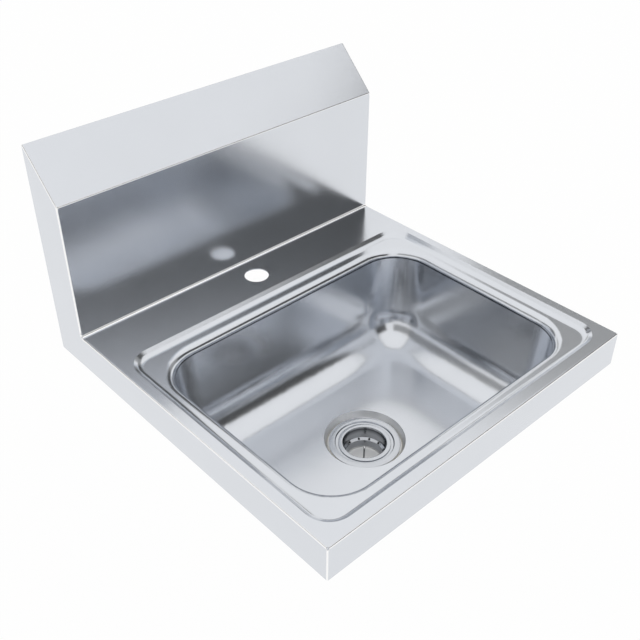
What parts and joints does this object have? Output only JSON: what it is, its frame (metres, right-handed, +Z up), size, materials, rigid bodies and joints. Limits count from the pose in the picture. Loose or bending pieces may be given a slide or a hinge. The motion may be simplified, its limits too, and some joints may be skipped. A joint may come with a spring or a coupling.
{
  "type": "wall hung hand wash sink",
  "caption": "Wall-hung stainless steel hand wash sink with a folded splash, pressed deck, rectangular bowl, tap hole and lift-out drain basket.",
  "frame": {"origin": "centre of the wall bracket's back face, on the wall plane", "axes": "+X to the right seen from the front, +Y into the wall, +Z up"},
  "size_m": [0.4318, 0.437, 0.51],
  "materials": {
    "sheet_steel": "satin brushed",
    "bowl_steel": "satin polished",
    "drain_steel": "turned and polished",
    "basket_steel": "drawn and polished",
    "bracket_steel": "mill finish",
    "nut_zinc": "cast, satin",
    "black_rubber": "matt",
    "seal_putty": "matt",
    "fibre": "matt"
  },
  "bodies": {
    "bracket": {"wall_bracket": "bracket_steel"},
    "sink": {"deck_splash": "sheet_steel", "left_end_panel": "sheet_steel", "right_end_panel": "sheet_steel", "bowl": "bowl_steel", "strainer_body": "drain_steel", "flange_seal_ring": "seal_putty", "rubber_gasket": "black_rubber", "friction_ring": "fibre", "lock_nut": "nut_zinc", "tailpiece_washer": "seal_putty", "tailpiece": "drain_steel", "coupling_nut": "nut_zinc"},
    "basket": {"basket_cup": "basket_steel", "basket_post": "basket_steel", "post_knob": "basket_steel", "basket_stopper": "black_rubber", "post_washer": "basket_steel", "post_nut": "basket_steel"}
  },
  "joints": [
    {"name": "sink_lift", "type": "slide", "parent": "bracket", "child": "sink", "axis": [0, 0, 1], "range_m": [0, 0.03]},
    {"name": "basket_lift", "type": "slide", "parent": "sink", "child": "basket", "axis": [0, 0, 1], "range_m": [0, 0.18]}
  ]
}
